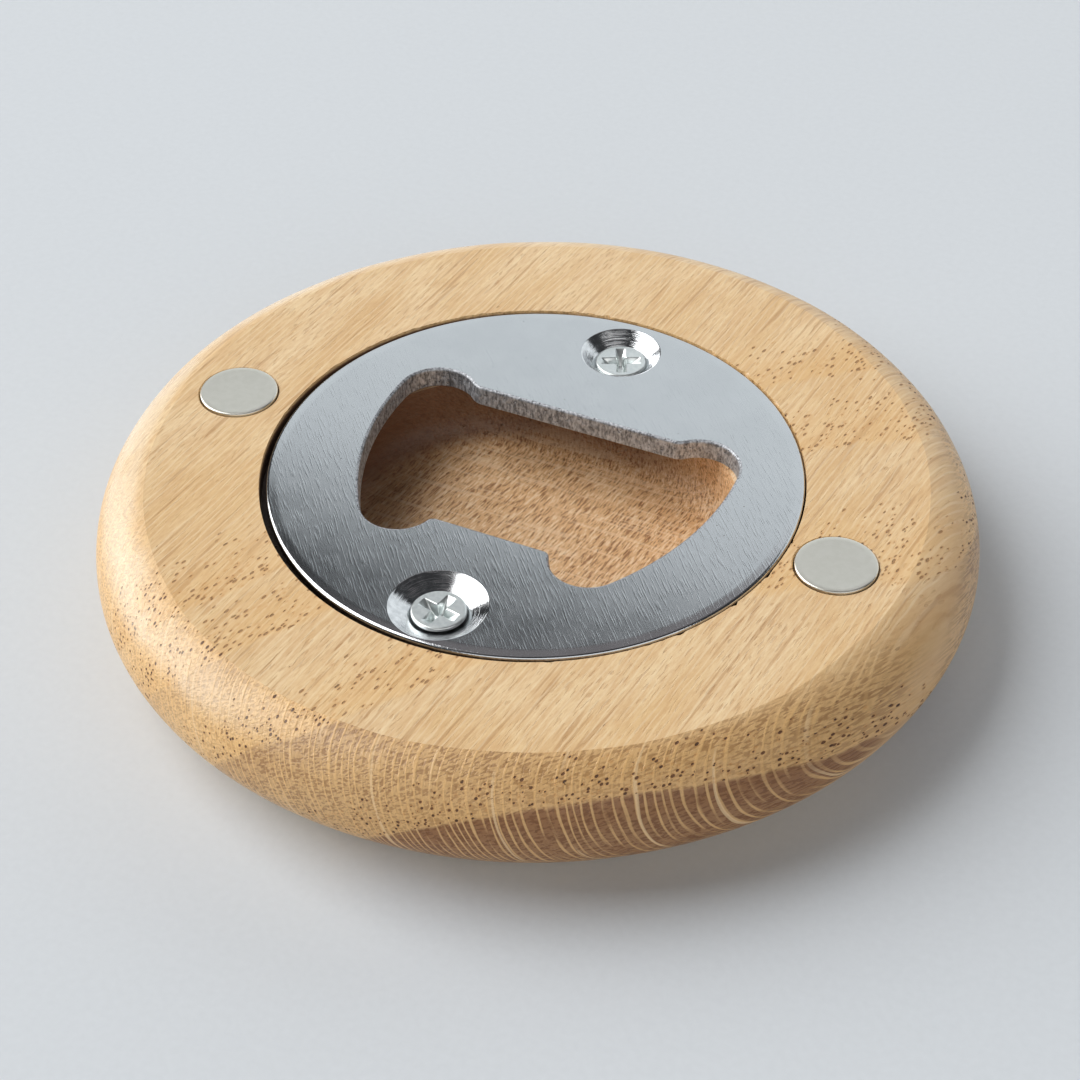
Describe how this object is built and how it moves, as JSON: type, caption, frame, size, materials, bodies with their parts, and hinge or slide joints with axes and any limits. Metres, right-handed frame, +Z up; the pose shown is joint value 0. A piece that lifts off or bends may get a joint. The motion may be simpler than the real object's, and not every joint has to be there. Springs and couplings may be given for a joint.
{
  "type": "magnetic bottle opener",
  "caption": "Round wooden bottle opener with a screwed-in steel opener plate over a cap pocket, and disc magnets set in its face.",
  "frame": {"origin": "middle of the flat underside of the wooden disc", "axes": "+Z up through the disc, out of the face that carries the plate and the magnets; +X along the plate's straight lip, from the left magnet to the right one; +Y from the lower screw towards the upper screw, which is beyond the lip"},
  "size_m": [0.0664, 0.0664, 0.0111],
  "materials": {
    "oak": "sanded and oiled, satin",
    "plate_steel": "finely brushed stainless steel",
    "zinc_screw": "bright zinc plate",
    "magnet_nickel": "satin nickel plate",
    "glue": "clear cured glue"
  },
  "bodies": {
    "root": {"wooden_body": "oak", "opener_plate": "plate_steel", "upper_screw": "zinc_screw", "lower_screw": "zinc_screw", "left_magnet": "magnet_nickel", "right_magnet": "magnet_nickel", "left_magnet_glue": "glue", "right_magnet_glue": "glue"}
  },
  "joints": []
}
